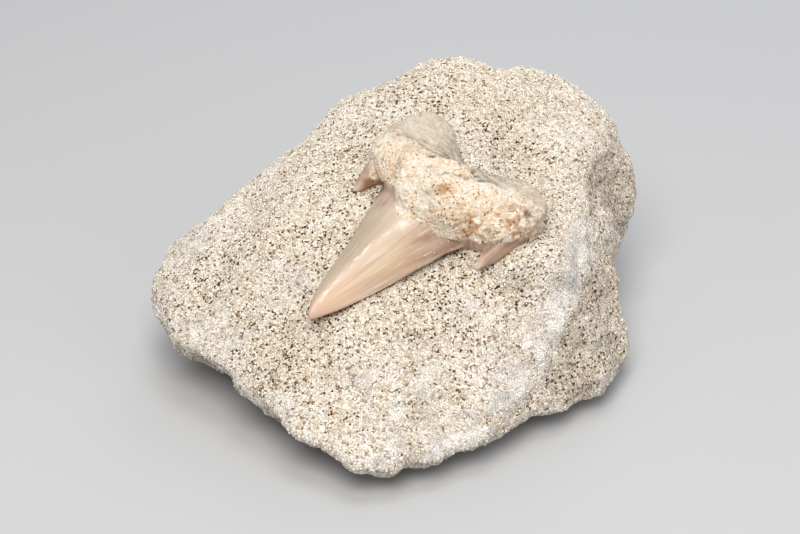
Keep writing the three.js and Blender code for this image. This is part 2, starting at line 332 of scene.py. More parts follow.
def spots(points, places):
    # how much each point belongs to round patches in the plan: x, y, radius
    total = np.zeros(len(points))
    for x, y, radius in places:
        far = np.hypot(points[:, 0] / mm - x, points[:, 1] / mm - y) / radius
        total = np.maximum(total, np.exp(-far * far))
    return total


def mound(x, y, oval):
    # 1 in the middle of an oval, fading outwards: middle x and y, half width, half length
    middleX, middleY, halfX, halfY = oval
    return np.exp(-((x - middleX) / halfX) ** 2 - ((y - middleY) / halfY) ** 2)


def besidePath(points, path):
    # mm from a path in the plan, minus on its right hand
    plan = points[:, :2] / mm
    nearest = np.full(len(points), np.inf)
    for start, end in zip(np.array(path[:-1]), np.array(path[1:])):
        step = end - start
        offset = plan - start
        share = np.clip(offset @ step / (step @ step), 0, 1)
        far = np.linalg.norm(offset - share[:, None] * step, axis=1)
        hand = np.sign(step[0] * offset[:, 1] - step[1] * offset[:, 0])
        nearest = np.where(far < np.abs(nearest), far * hand, nearest)
    return nearest


def nearPath(points, path, radius):
    # 1 on a path in the plan, fading over the radius
    return np.exp(-(besidePath(points, path) / radius) ** 2)


def onRidge(crest, reach):
    # 1 on the ridge, fading towards the tooth and towards the right face
    inner, outer = reach
    return np.exp(-(crest / np.where(crest < 0, inner, outer)) ** 2)


def rightFace(points, crest):
    # how much each point belongs to the face right of the ridge, which gets painted shade, strongest next
    # to the ridge
    face = smoothStep(0.2, 2, crest) * (1 - smoothStep(*rockLook["notch"], points[:, 1] / mm))
    return face * (1 - 0.5 * smoothStep(3, 9, crest))


def closePocket(shape, toothTree):
    # the tooth's bed is drawn shut, so that sand meets the tooth all round
    bed = {v for v in shape.verts if toothTree.find_nearest(v.co)[3] < rockLook["pocketReach"]}
    inner = [v for v in bed if all(e.other_vert(v) in bed for e in v.link_edges)]
    beside = [[e.other_vert(v) for e in v.link_edges] for v in inner]
    for turn in range(rockLook["pocketTurns"]):
        places = [sum((other.co for other in near), Vector()) / len(near) for near in beside]
        for v, place in zip(inner, places):
            v.co = place


def rockRelief(points, normals, at):
    # mm that each point moves out: lumps, chips, dents, banked sand and the ridge
    height = np.zeros(len(points))
    for i, (size, tall, octaves, sides) in enumerate(rockLook["lumps"]):
        height += waves(points, size, i + 1, octaves) * tall * (1 + at.side * sides)
    size, depth = rockLook["chips"]
    back = at.side * smoothStep(*rockLook["backFrom"], points[:, 1] / mm)
    height += (0.4 - np.abs(waves(points, size, 9)) * 1.8) * depth * back
    size, depth = rockLook["dents"]
    patches = smoothStep(-0.1, 0.5, waves(points, rockLook["dentPatches"], 5))
    height -= smoothStep(0.45, 0.9, pockets(points, size, 4)) * patches * depth
    x, y = toothLocal(points).T[:2]
    reach, byCrown, byRoot = rockLook["collar"]
    rise = byCrown + (byRoot - byCrown) * smoothStep(-1, 4, y)
    height += rise * np.exp(-(at.gap / reach) ** 2)
    for *oval, rise in rockLook["banks"]:
        height += rise * mound(x, y, oval) * (normals[:, 2] > 0.3)
    rise, *reach = rockLook["ridgeRise"]
    height += rise * onRidge(at.crest, reach) * (normals[:, 2] > 0)
    return height


def paintRock(mesh, points, normals, at):
    # powder where the rock was knocked, pits, painted shade on the sides and behind the root, and how
    # densely loose grains lie
    mottle = waves(points, rockLook["mottle"], 6, 3)
    patchy = smoothStep(-0.25, 0.45, mottle)
    upper = smoothStep(0.2, 0.5, normals[:, 2])
    worn = smoothStep(0.12, 0.5, at.edges + mottle * 0.15) * 0.4
    worn = np.maximum(worn, spots(points, rockLook["bruised"]) * patchy * upper * 0.8)
    ridge = onRidge(at.crest, rockLook["ridgeWorn"]) * upper
    worn = np.maximum(worn, ridge * smoothStep(-0.7, 0.1, mottle) * 0.95)
    for path in rockLook["knocked"]:
        edge = nearPath(points, path, rockLook["knockedReach"]) * patchy * upper
        worn = np.maximum(worn, edge * 0.6)
    pits = 0.4 + spots(points, rockLook["pitted"]) * 0.6 - spots(points, rockLook["smoothed"]) * 0.3
    pits = np.maximum(pits + at.right * 0.3, np.exp(-(at.gap / rockLook["pitReach"]) ** 2))
    # painted shade on steep sides and the right face, with the painted shadow behind the root
    shade = np.maximum(at.side, spots(points, rockLook["paintedShadow"]) * 0.5)
    cover = (1 - worn * 0.5) * smoothStep(1, 3, points[:, 2] / mm) * smoothStep(0.2, 0.5, at.gap)
    top = smoothStep(0.3, 0.45, normals[:, 2])
    left = points[:, 0] < 0
    masks = {
        "worn": worn,
        "pits": np.clip(pits, 0, 1) * (1 - worn),
        "side": shade * (1 - worn) * rockLook["sideShade"],
        "coverLeft": cover * top * left,
        "coverRight": cover * top * ~left,
        "coverSides": cover * (1 - top),
        "coverTop": cover * top,
    }
    for name, values in masks.items():
        setAttribute(mesh, name, values)


def makeRock(toothTree):
    shape = solidCopy("rock")
    closePocket(shape, toothTree)
    piece = evenPiece("rockPiece", shape, rockLook["voxel"])
    mesh = piece.data
    points = pointsOf(mesh)
    free = smoothStep(rockLook["flatFrom"], rockLook["flatTo"], points[:, 2])
    soft = relaxed(mesh, points, rockLook["facetTurns"])
    points += (soft - points) * free[:, None]
    setPoints(mesh, points)
    normals = normalsOf(mesh)
    broad = relaxed(mesh, points, rockLook["edgeTurns"])
    at = SimpleNamespace()      # what is known of each point
    at.edges = ((points - broad) * normals).sum(axis=1) / mm
    at.crest = besidePath(points, rockLook["ridge"])
    at.right = rightFace(points, at.crest)
    at.side = np.maximum(1 - smoothStep(*rockLook["steep"], normals[:, 2]), at.right)
    at.gap = np.array([toothTree.find_nearest(Vector(p))[3] for p in points]) / mm
    height = rockRelief(points, normals, at)
    points += normals * (height * mm * free)[:, None]
    points[:, 2] = np.maximum(points[:, 2], 0)
    setPoints(mesh, points)
    paintRock(mesh, points, normals, at)
    mesh.materials.append(sandyRock())
    print("rock:", len(mesh.vertices), "points")
    return piece


# Tooth

toothLook = {
    "voxel": 0.19 * mm,
    "facetTurns": 16,           # rounds the solid's facets
    "neckBlend": 0.5,           # half width of the change from enamel to root
    "neckWaver": 0.6,
    "rootLumps": [(4, 0.5, 3), (1.3, 0.32, 2), (0.5, 0.15, 1)],     # size, height, octaves
    "pores": (1.0, 0.16),       # size, depth
    "crumbs": (0.62, 0.24),     # size, height
    "cracks": (0.32, 0.55),     # half width, depth
    "ledge": (0.8, 0.5),        # edge between the root's front and its back
    "fibres": (0.5, 0.09),      # grey back of the root, drawn out across the tooth
    "wornGlintWidth": 0.28,             # half width of the worn line along the ridge, brightened as painted highlight
    "valley": (1.1, 0.6),       # half width, depth
    "ridgeRise": (0.9, 0.16),   # middle ridge of the crown: half width, height
    "ridges": (0.55, 0.02),     # fine lengthwise ridges of the enamel
    "wider": (0.35, 0.6),       # crown's left and right edges, mm beyond the solid
    "tuck": 0.9,                # right end of the root, drawn in under the sand
    "lip": 0.12,                # the root stands this much proud of the enamel at the neck
    "holeDepth": 0.6,
    "hollowDepth": 0.5,
    # humps and hollows of the root in the tooth's mm: x, y, half width, half length, rise
    "humps": [(9.5, 15.5, 4.5, 2.6, -0.9), (0, 5.2, 4, 2.6, 0.5), (-12, 15.5, 4, 3.5, -0.4),
              (-8, 12, 3.5, 2, -0.7), (5, 3.5, 3, 2, 0.35), (-4.8, 3.2, 1.3, 2, -0.4),
              (-2.8, 7.3, 1.5, 1.3, -0.45)],
    # right cusplet, moved a little towards the crown: x, y, half sizes, shift across and along
    "pulls": [(13.8, 2, 2, 2.2, -0.5, -0.4)],
    # stains in the tooth's mm: x, y, radius
    "rust": [(9.1, 3.4, 2.2), (2.3, 4.1, 1.3), (-2.8, 7, 1.2), (10.7, 4.8, 1.3), (12.5, 5, 1),
             (15.4, 8, 1.2), (-9, 2.4, 0.9), (13.5, 10, 3)],
    "greyStains": [(0.8, 2.1, 0.7), (-12.3, 11.2, 1.2), (-10.3, 12.4, 1.2), (-13.6, 9.8, 1)],
    "bleached": [(-3.5, 1.5, 2), (0.9, 1.3, 1.5), (5.8, 11, 1.5), (8.6, 12.4, 1.8),
                 (11.1, 11.9, 2), (13.6, 13.6, 1.6)],
    # painted highlight where the ridge meets the root: x, y, radius
    "neckHighlights": [(0.9, -3.7, 0.8)],
    "lobe": [(-13, 15, 4.8)],
    "holes": [(14.2, 12.2, 0.85)],
    "hollows": [(-11, 0.8, 1.8)],
    "mauve": [(-5.8, -1.6, 1.5)],
    "flank": "#b5a38e",         # left edge of the crown, grey-mauve, darkened as painted shade
    "facet": "#bfae9a",
    # paler ridge, partly worn and partly painted highlight
    "ridge": "#cab5a2",
    "middle": "#c7b09a",
    "patch": "#cbb498",         # cream
    "olive": "#b99b81",
    "shade": "#baa08b",
    "edge": "#d4beac",          # thin cutting edge, painted as a pale lit line
    "tip": "#dcbba3",
    "neck": "#cab6a5",
    "scratch": "#f3ebe2",
    "glint": "#f7f0e8",         # worn line along the ridge brightened as painted highlight, and the painted highlight at the neck
    "streak": "#86705c",
    "band": "#95755f",          # mauve-brown fan under the root, partly its own streaks and partly painted shadow under the root's overhang
    # mauve-brown cusplets, darkened as painted shade on their shaded sides
    "cusplet": "#977c6a",
    # painted light on the cusplets' lit lower parts and tips
    "cuspTip": "#dcc5a9",
    "rim": "#e6d0bd",           # painted highlight: a thin lit line on the cutting edge where it meets the sand
    "hole": "#5a3f2c",
    "rootCream": "#d3c5b0",
    "rootOrange": "#cfab84",
    "rootWhite": "#efe8de",
    "rootBrown": "#6d4a31",
    "rustStain": "#c09a78",
    "rootPale": "#d9d3ca",      # where the root is bleached
    "lobeCream": "#c5baab",
    "hollow": "#8f6a50",        # brown hollow beside the left cusplet, partly painted shade
    "fibreDark": "#5d564b",
    "fibrePale": "#bab1a3",
    "rootGrain": 0.3,           # mm, grains of the dentine
    "rootCloud": 4,             # mm, warm and bleached clouds
    "enamelRoughness": 0.3,
    "rootRoughness": 0.85,
}


def enamelColour(tree, mask, flow, lines):
    # flow runs from -1 to 1 across the crown and from 0 to 1 towards its tip
    look = toothLook
    axes = addNode(tree, "ShaderNodeSeparateXYZ", {0: flow})
    # streaks are about 0.5 mm wide near the neck and narrow towards the tip
    stretched = addNode(tree, "ShaderNodeMapping", {"Vector": flow, "Scale": (9.0, 1.6, 1.0)})
    streaks = addNode(tree, "ShaderNodeTexNoise", {
        "Vector": stretched.outputs[0], "Scale": 1.4, "Detail": 6}).outputs["Fac"]
    sway = addNode(tree, "ShaderNodeMapRange", {0: streaks, 3: -0.15, 4: 0.15})
    half = addNode(tree, "ShaderNodeMapRange", {0: axes.outputs[0], 1: -1.0, 2: 1.0})
    swayed = addNode(tree, "ShaderNodeMath", {0: half.outputs[0], 1: sway.outputs[0]}, operation="ADD")
    # grey flank and left facet with painted shade, paler ridge partly worn and partly painted highlight,
    # cream patch and olive side, from left to right; the pale cutting edge is a painted lit line
    sides = addNode(tree, "ShaderNodeValToRGB", {0: swayed.outputs[0]}, stops=[
        (0.1, look["flank"]), (0.99, look["edge"]), (0.4, look["facet"]), (0.53, look["ridge"]),
        (0.62, look["middle"]), (0.75, look["patch"]), (0.86, look["olive"]), (0.94, look["shade"])])
    toTip = addNode(tree, "ShaderNodeMapRange", {0: axes.outputs[1], 1: 0.5, 2: 0.95})
    onRight = addNode(tree, "ShaderNodeMapRange", {0: half.outputs[0], 1: 0.3, 2: 0.6, 3: 0.25, 4: 1.0})
    peach = addNode(tree, "ShaderNodeMath", {
        0: toTip.outputs[0], 1: onRight.outputs[0]}, operation="MULTIPLY")
    tipped = addNode(tree, "ShaderNodeMixRGB", {
        0: peach.outputs[0], 1: sides.outputs[0], 2: linear(look["tip"])})
    toNeck = addNode(tree, "ShaderNodeMapRange", {0: axes.outputs[1], 1: 0.25, 2: 0.06, 3: 0.0, 4: 0.6})
    necked = addNode(tree, "ShaderNodeMixRGB", {
        0: toNeck.outputs[0], 1: tipped.outputs[0], 2: linear(look["neck"])})
    # cusplet colour, darker as painted shade
    pointed = addNode(tree, "ShaderNodeMixRGB", {
        0: mask["cusplet"], 1: necked.outputs[0], 2: linear(look["cusplet"])})
    strokes = addNode(tree, "ShaderNodeMapRange", {0: streaks, 1: 0.38, 2: 0.62, 3: 1.3, 4: 0.6})
    # mauve fan: streaks, partly painted shadow under the root
    fanned = addNode(tree, "ShaderNodeMath", {
        0: mask["band"], 1: strokes.outputs[0]}, operation="MULTIPLY", use_clamp=True)
    banded = addNode(tree, "ShaderNodeMixRGB", {
        0: fanned.outputs[0], 1: pointed.outputs[0], 2: linear(look["band"])})
    # painted light on the cusplets' lower parts and tips
    cuspLit = addNode(tree, "ShaderNodeMixRGB", {
        0: mask["cuspTip"], 1: banded.outputs[0], 2: linear(look["cuspTip"])})
    # painted highlight along the cutting edge by the sand
    edgeLit = addNode(tree, "ShaderNodeMixRGB", {
        0: mask["rim"], 1: cuspLit.outputs[0], 2: linear(look["rim"])})
    pale = addNode(tree, "ShaderNodeMapRange", {0: lines, 1: 0.6, 2: 0.74, 3: 0.0, 4: 0.6})
    lighter = addNode(tree, "ShaderNodeMixRGB", {
        0: pale.outputs[0], 1: edgeLit.outputs[0], 2: linear(look["scratch"])})
    dark = addNode(tree, "ShaderNodeMapRange", {0: streaks, 1: 0.46, 2: 0.28, 3: 0.0, 4: 0.35})
    darker = addNode(tree, "ShaderNodeMixRGB", {
        0: dark.outputs[0], 1: lighter.outputs[0], 2: linear(look["streak"])})
    # worn ridge line and neck, brightened as painted highlight
    glinted = addNode(tree, "ShaderNodeMixRGB", {
        0: mask["glint"], 1: darker.outputs[0], 2: linear(look["glint"])})
    # brown hollow beside the left cusplet, partly painted shade
    return addNode(tree, "ShaderNodeMixRGB", {
        0: mask["hollow"], 1: glinted.outputs[0], 2: linear(look["hollow"])}).outputs[0]


def dentineColour(tree, mask, place, cells):
    # cream with orange and white grains, brown pores, rust, and a grey fibrous back that also carries
    # painted shade
    look = toothLook
    tone = addNode(tree, "ShaderNodeSeparateColor", {0: cells})
    grains = addNode(tree, "ShaderNodeValToRGB", {0: tone.outputs[0]}, stops=[
        (0.0, look["rootBrown"]), (1.0, look["rootWhite"]), (0.08, look["rootOrange"]),
        (0.3, look["rootCream"]), (0.6, look["rootCream"])])
    cloud = addNode(tree, "ShaderNodeTexNoise", {
        "Vector": place, "Scale": every(look["rootCloud"]), "Detail": 4}).outputs["Fac"]
    warm = addNode(tree, "ShaderNodeMapRange", {0: cloud, 1: 0.5, 2: 0.7, 3: 0.0, 4: 0.4})
    warmed = addNode(tree, "ShaderNodeMixRGB", {
        0: warm.outputs[0], 1: grains.outputs[0], 2: linear(look["rootOrange"])}, blend_type="MULTIPLY")
    bleach = addNode(tree, "ShaderNodeMapRange", {0: cloud, 1: 0.48, 2: 0.3, 3: 0.0, 4: 0.6})
    paler = addNode(tree, "ShaderNodeMath", {0: bleach.outputs[0], 1: mask["bleach"]}, operation="MAXIMUM")
    bleached = addNode(tree, "ShaderNodeMixRGB", {
        0: paler.outputs[0], 1: warmed.outputs[0], 2: linear(look["rootPale"])})
    rusted = addNode(tree, "ShaderNodeMixRGB", {
        0: mask["rust"], 1: bleached.outputs[0], 2: linear(look["rustStain"])}, blend_type="MULTIPLY")
    smooth = addNode(tree, "ShaderNodeMixRGB", {
        0: mask["lobe"], 1: rusted.outputs[0], 2: linear(look["lobeCream"])})
    # strands of the grey back are about 0.5 mm wide, drawn out across the tooth
    drawn = addNode(tree, "ShaderNodeAttribute", attribute_name="drawn").outputs["Vector"]
    strands = addNode(tree, "ShaderNodeTexNoise", {"Vector": drawn, "Scale": 2.2, "Detail": 4})
    fibres = addNode(tree, "ShaderNodeValToRGB", {0: strands.outputs["Fac"]}, stops=[
        (0.36, look["fibreDark"]), (0.62, look["fibrePale"])])
    # grey back: its own grey fibres, also darkened as painted shade where the slope faces away
    return addNode(tree, "ShaderNodeMixRGB", {
        0: mask["grey"], 1: smooth.outputs[0], 2: fibres.outputs[0]}).outputs[0]


def fossilTooth():
    # fossil enamel is glassy, streaked and slightly see-through; the root is porous, stained dentine
    material, tree = newMaterial("fossilTooth")
    look = toothLook
    place = addNode(tree, "ShaderNodeTexCoord").outputs["Object"]
    mask = {name: addNode(tree, "ShaderNodeAttribute", attribute_name=name).outputs["Fac"]
            for name in ("root", "band", "cusplet", "cuspTip", "rim", "hole", "hollow", "grey",
                         "rust", "bleach", "lobe", "glint")}
    flow = addNode(tree, "ShaderNodeAttribute", attribute_name="flow").outputs["Vector"]
    # scratches are about 0.2 mm wide near the neck, as fine as the render can show
    fine = addNode(tree, "ShaderNodeMapping", {"Vector": flow, "Scale": (42.0, 3.5, 1.0)})
    lines = addNode(tree, "ShaderNodeTexNoise", {"Vector": fine.outputs[0], "Scale": 1.0, "Detail": 3})
    cells = addNode(tree, "ShaderNodeTexVoronoi", {"Vector": place, "Scale": every(look["rootGrain"])})
    enamel = enamelColour(tree, mask, flow, lines.outputs["Fac"])
    dentine = dentineColour(tree, mask, place, cells.outputs["Color"])
    both = addNode(tree, "ShaderNodeMixRGB", {0: mask["root"], 1: enamel, 2: dentine})
    colour = addNode(tree, "ShaderNodeMixRGB", {
        0: mask["hole"], 1: both.outputs[0], 2: linear(look["hole"])})
    dull = addNode(tree, "ShaderNodeMath", {0: mask["root"], 1: mask["cusplet"]}, operation="MAXIMUM")
    gloss = addNode(tree, "ShaderNodeMapRange", {
        0: dull.outputs[0], 3: look["enamelRoughness"], 4: look["rootRoughness"]})
    relief = addNode(tree, "ShaderNodeMixRGB", {
        0: mask["root"], 1: lines.outputs["Fac"], 2: cells.outputs["Distance"]})
    bumps = addNode(tree, "ShaderNodeBump", {
        "Height": relief.outputs[0], "Strength": 0.25, "Distance": 0.12 * mm})
    surface = addNode(tree, "ShaderNodeBsdfPrincipled", {
        "Base Color": colour.outputs[0], "Roughness": gloss.outputs[0], "Normal": bumps.outputs[0],
        "IOR": 1.5, "Specular IOR Level": 0.3, "Subsurface Weight": 0.12,
        "Subsurface Radius": (1.0, 0.6, 0.35), "Subsurface Scale": 1.2 * mm})
    addNode(tree, "ShaderNodeOutputMaterial", {"Surface": surface.outputs[0]})
    return material


def stains(x, y, places):
    # how much each point belongs to round stains in the tooth's own plan
    total = np.zeros(len(x))
    for middleX, middleY, radius in places:
        total = np.maximum(total, np.exp(-((x - middleX) ** 2 + (y - middleY) ** 2) / radius ** 2))
    return total


def readTooth(points, normals):
    # where each point lies on the tooth, and how much it belongs to root, grey back with its painted shade,
    # cracks and hollows
    at = SimpleNamespace()
    at.x, at.y, at.z = x, y, z = toothLocal(points).T
    at.plan = np.stack([x, y], axis=1) * mm
    at.facing = np.clip(normals @ np.array(outward) * 2, 0, 1)
    neckX, neckY, neckZ = np.array(toothPlace["neckLine"]).T
    waver = waves(points, 1.6, 11, 3) * toothLook["neckWaver"]
    at.above = y - np.interp(x, neckX, neckY) + (z - np.interp(x, neckX, neckZ)) * 0.8 + waver
    at.root = smoothStep(-toothLook["neckBlend"], toothLook["neckBlend"], at.above)
    width = np.interp(y, *np.array(toothPlace["crownEdges"]).T)
    toTip = np.clip(-y / toothPlace["crownLength"], -0.2, 1)
    at.flow = np.stack([x / np.maximum(width, 0.5), toTip, z * 0.05], axis=1)
    at.behind = y - np.interp(x, *np.array(toothPlace["crestLine"]).T) + waver
    at.lobe = stains(x, y, toothLook["lobe"])
    at.drawn = np.stack([x * 0.14, y, z], axis=1)
    blend = 1 + 1.6 * smoothStep(7, 11, -x)
    frayed = at.behind + waves(at.drawn * mm, 0.8, 20) * 0.9
    # grey back of the root, partly its own colour and partly painted shade
    grey = smoothStep(-0.9, 1.3, frayed / blend) * (1 - at.lobe * 0.85)
    grey *= 1 - 0.6 * smoothStep(4, 10, x) - 0.3 * smoothStep(6, 10, -x)
    at.grey = np.maximum(grey, stains(x, y, toothLook["greyStains"]) * at.facing)
    ragged = np.stack([x + waver, y + waver], axis=1) * mm
    at.crack = np.zeros(len(points))
    for path in toothPlace["cracks"]:
        at.crack = np.maximum(at.crack, nearPath(ragged, path, toothLook["cracks"][0]) * at.facing)
    at.hole = stains(x, y, toothLook["holes"])
    at.hollow = stains(x, y, toothLook["hollows"])
    return at


def rootRelief(points, at):
    # mm that each point of the root moves out
    rough = np.zeros(len(points))
    for i, (size, tall, octaves) in enumerate(toothLook["rootLumps"]):
        rough += waves(points, size, 12 + i, octaves) * tall * (1 - at.grey * 0.5)
    size, tall = toothLook["crumbs"]
    rough += pockets(points, size, 19) * tall * (1 - at.grey * 0.7)
    size, tall = toothLook["ledge"]
    rough += tall * np.exp(-((at.behind + size / 2) / size) ** 2) * at.facing * (1 - at.lobe)
    size, depth = toothLook["pores"]
    rough -= smoothStep(0.6, 0.95, pockets(points, size, 15)) * depth * (1 - at.grey)
    size, tall = toothLook["fibres"]
    rough += waves(at.drawn * mm, size, 18) * tall * at.grey
    rough -= at.crack * toothLook["cracks"][1]
    rough += toothLook["lip"] * np.exp(-((at.above - 0.6) / 0.8) ** 2)
    for *oval, rise in toothLook["humps"]:
        rough += rise * mound(at.x, at.y, oval) * at.facing
    size, depth = toothLook["valley"]
    rough -= depth * nearPath(at.plan, toothPlace["valley"], size) * at.facing
    rough -= at.hole * toothLook["holeDepth"]
    return rough


def crownRelief(at):
    # mm that each point of the crown moves out
    size, tall = toothLook["ridges"]
    ribbed = at.flow * np.array([8, 1.5, 1]) * mm
    fine = waves(ribbed, size, 16) * tall - at.hollow * toothLook["hollowDepth"]
    size, tall = toothLook["ridgeRise"]
    fine += tall * nearPath(at.plan, toothPlace["crownRidge"], size) * at.facing
    return fine


def crownWidening(at):
    # mm that each point moves across: the crown's edges outwards, the root's right end inwards
    onLeft, onRight = toothLook["wider"]
    wide = smoothStep(0.3, 0.9, at.flow[:, 0]) * onRight - smoothStep(0.3, 0.9, -at.flow[:, 0]) * onLeft
    wide *= (1 - at.root) * smoothStep(-25.5, -19, at.y) * (1 - smoothStep(-4, 0, at.y))
    wide -= toothLook["tuck"] * smoothStep(14, 17, at.x) * (1 - smoothStep(1.5, 3.5, at.z))
    return wide


def paintTooth(mesh, points, at, contact):
    # stains, scrapes and pale edges, and where grains stick to the crown; bounds of x and y are mm
    x, y = at.x, at.y
    enamel = 1 - at.root
    sideways = at.flow[:, 0]
    mottle = waves(points, 1.2, 17, 3)
    # mauve fan under the root: partly its own streaks, partly painted shadow under the root's overhang
    fan = smoothStep(0.5, 5.5, x) * smoothStep(-11, -1, at.above)
    fan *= 1 - smoothStep(10.4, 11.2, x) * (1 - smoothStep(12.6, 13.6, x) * 0.8)
    fan = np.maximum(fan, stains(x, y, toothLook["mauve"]) * 0.6)
    cusplets = smoothStep(10.2, 11, np.abs(x))
    # lower parts of the cusplets take painted light, the rest stays darker as painted shade
    lowRight = 1 - smoothStep(0.8, 3.4, y - 0.8 + (x - 13) * 0.9)
    low = np.where(x > 0, lowRight, 1 - smoothStep(-2, 0.6, y))
    # painted highlight: a thin lit line along the crown's right edge where it meets the sand
    rim = np.exp(-((contact - 0.5) / 0.35) ** 2) * smoothStep(0.3, 0.6, sideways)
    rim *= smoothStep(-22, -16, y)
    # worn line along the crown's ridge, brightened as painted highlight
    streaked = np.stack([x * 3, y * 0.7, at.z * 0], axis=1) * mm
    broken = smoothStep(-0.1, 0.5, waves(streaked, 1, 21, 3))
    glint = nearPath(at.plan, toothPlace["crownRidge"], toothLook["wornGlintWidth"]) * broken * at.facing * enamel
    glint *= 0.75 - 0.3 * smoothStep(-12, -8, y)
    # painted highlight where the ridge meets the root
    neckHighlight = stains(x, y, toothLook["neckHighlights"]) * np.clip(0.7 + mottle, 0, 1) * at.facing * enamel
    pitted = np.maximum(at.hole * (1.4 + mottle), at.crack * (0.8 + mottle))
    stuck = enamel * smoothStep(0.5, 0.8, sideways) * smoothStep(-9, -4, y) * (1 - smoothStep(1, 3, y))
    masks = {
        "root": at.root,
        "flow": at.flow,
        "band": enamel * np.clip(fan * (0.75 + mottle * 0.2), 0, 1),
        "hollow": np.clip(at.hollow * (1.8 + mottle), 0, 0.95),
        "cuspTip": cusplets * np.clip(low + mottle * 0.3, 0, 1) * 0.8,
        "rim": rim * enamel * (1 - smoothStep(-3, 0, y)) * 0.8,
        "lobe": at.lobe * 0.8,
        "drawn": at.drawn,
        "glint": np.maximum(glint, neckHighlight * 0.7),
        "cusplet": cusplets * np.clip(0.6 + mottle * 0.4, 0, 1),
        "grey": np.clip(at.grey * (0.85 + mottle * 0.3), 0, 0.85),
        "bleach": np.clip(stains(x, y, toothLook["bleached"]) * (0.6 + mottle), 0, 0.7),
        "rust": np.clip(stains(x, y, toothLook["rust"]) * (0.4 + mottle * 1.5), 0, 0.8),
        "hole": np.clip(pitted, 0, 1) * 0.8,
        "cover": stuck * (at.facing > 0.4),
    }
    for name, values in masks.items():
        setAttribute(mesh, name, values)


def makeTooth(rockTree):
    piece = evenPiece("toothPiece", solidCopy("tooth"), toothLook["voxel"])
    mesh = piece.data
    points = relaxed(mesh, pointsOf(mesh), toothLook["facetTurns"])
    setPoints(mesh, points)
    normals = normalsOf(mesh)
    at = readTooth(points, normals)
    outwards = rootRelief(points, at) * at.root + crownRelief(at) * (1 - at.root)
    points += normals * (outwards * mm)[:, None]
    points += np.array(across) * (crownWidening(at) * mm)[:, None]
    for *oval, shiftX, shiftY in toothLook["pulls"]:
        pull = mound(at.x, at.y, oval) * (1 - at.root)
        points += np.array(across * shiftX + along * shiftY) * (pull * mm)[:, None]
    setPoints(mesh, points)
    contact = np.array([rockTree.find_nearest(Vector(p))[3] for p in points]) / mm
    paintTooth(mesh, points, at, contact)
    mesh.materials.append(fossilTooth())
    print("tooth:", len(mesh.vertices), "points")
    return piece


# Sand grains, scattered over a piece by Geometry Nodes

grainSets = {
    # name: cover attribute, spacing mm, smallest mm, largest mm, share sunk into the surface, seed
    "sandLeft": ("coverLeft", 0.46, 0.34, 0.6, 0.22, 1),
    "sandRight": ("coverRight", 0.46, 0.34, 0.6, 0.22, 2),
    "sandSides": ("coverSides", 0.66, 0.34, 0.7, 0.25, 3),
    "pebbles": ("coverTop", 6.0, 0.7, 1.2, 0.25, 4),
}
stuckGrains = ("cover", 1.3, 0.2, 0.38, 0.1, 5)


def grainTree(material):
    tree = bpy.data.node_groups.new("scatteredGrains", "GeometryNodeTree")
    for name, kind in [("Surface", "NodeSocketGeometry"), ("Cover", "NodeSocketString"),
                       ("Spacing", "NodeSocketFloat"), ("Smallest", "NodeSocketFloat"),
                       ("Largest", "NodeSocketFloat"), ("Sunk", "NodeSocketFloat"),
                       ("Seed", "NodeSocketInt")]:
        tree.interface.new_socket(name, in_out="INPUT", socket_type=kind)
    tree.interface.new_socket("Grains", in_out="OUTPUT", socket_type="NodeSocketGeometry")
    given = addNode(tree, "NodeGroupInput").outputs
    cover = addNode(tree, "GeometryNodeInputNamedAttribute", {"Name": given["Cover"]}, data_type="FLOAT")
    dots = addNode(tree, "GeometryNodeDistributePointsOnFaces", {
        "Mesh": given["Surface"], "Distance Min": given["Spacing"], "Density Max": 3e7,
        "Density Factor": cover.outputs["Attribute"], "Seed": given["Seed"]}, distribute_method="POISSON")
    grain = addNode(tree, "GeometryNodeMeshIcoSphere", {"Radius": 0.5, "Subdivisions": 1})
    size = addNode(tree, "FunctionNodeRandomValue", {
        2: given["Smallest"], 3: given["Largest"], "Seed": 21}, data_type="FLOAT")
    shape = addNode(tree, "FunctionNodeRandomValue", {
        0: (0.75, 0.75, 0.7), 1: (1.2, 1.2, 1.05), "Seed": 22}, data_type="FLOAT_VECTOR")
    scale = addNode(tree, "ShaderNodeVectorMath", {
        0: shape.outputs[0], "Scale": size.outputs[1]}, operation="SCALE")
    turn = addNode(tree, "FunctionNodeRandomValue", {
        0: (0, 0, 0), 1: (math.tau,) * 3, "Seed": 23}, data_type="FLOAT_VECTOR")
    depth = addNode(tree, "ShaderNodeMath", {0: size.outputs[1], 1: given["Sunk"]}, operation="MULTIPLY")
    inward = addNode(tree, "ShaderNodeVectorMath", {
        0: dots.outputs["Normal"], 1: (-1, -1, -1)}, operation="MULTIPLY")
    sink = addNode(tree, "ShaderNodeVectorMath", {
        0: inward.outputs[0], "Scale": depth.outputs[0]}, operation="SCALE")
    sunk = addNode(tree, "GeometryNodeSetPosition", {
        "Geometry": dots.outputs["Points"], "Offset": sink.outputs[0]})
    placed = addNode(tree, "GeometryNodeInstanceOnPoints", {
        "Points": sunk.outputs["Geometry"], "Instance": grain.outputs["Mesh"],
        "Rotation": turn.outputs[0], "Scale": scale.outputs[0]})
    tone = addNode(tree, "FunctionNodeRandomValue", {2: 0.0, 3: 1.0, "Seed": 24}, data_type="FLOAT")
    toned = addNode(tree, "GeometryNodeStoreNamedAttribute", {
        "Geometry": placed.outputs[0], "Name": "tone", "Value": tone.outputs[1]},
        data_type="FLOAT", domain="INSTANCE")
    real = addNode(tree, "GeometryNodeRealizeInstances", {0: toned.outputs[0]})
    done = addNode(tree, "GeometryNodeSetMaterial", {"Geometry": real.outputs[0], "Material": material})
    addNode(tree, "NodeGroupOutput", {0: done.outputs[0]})
    return tree


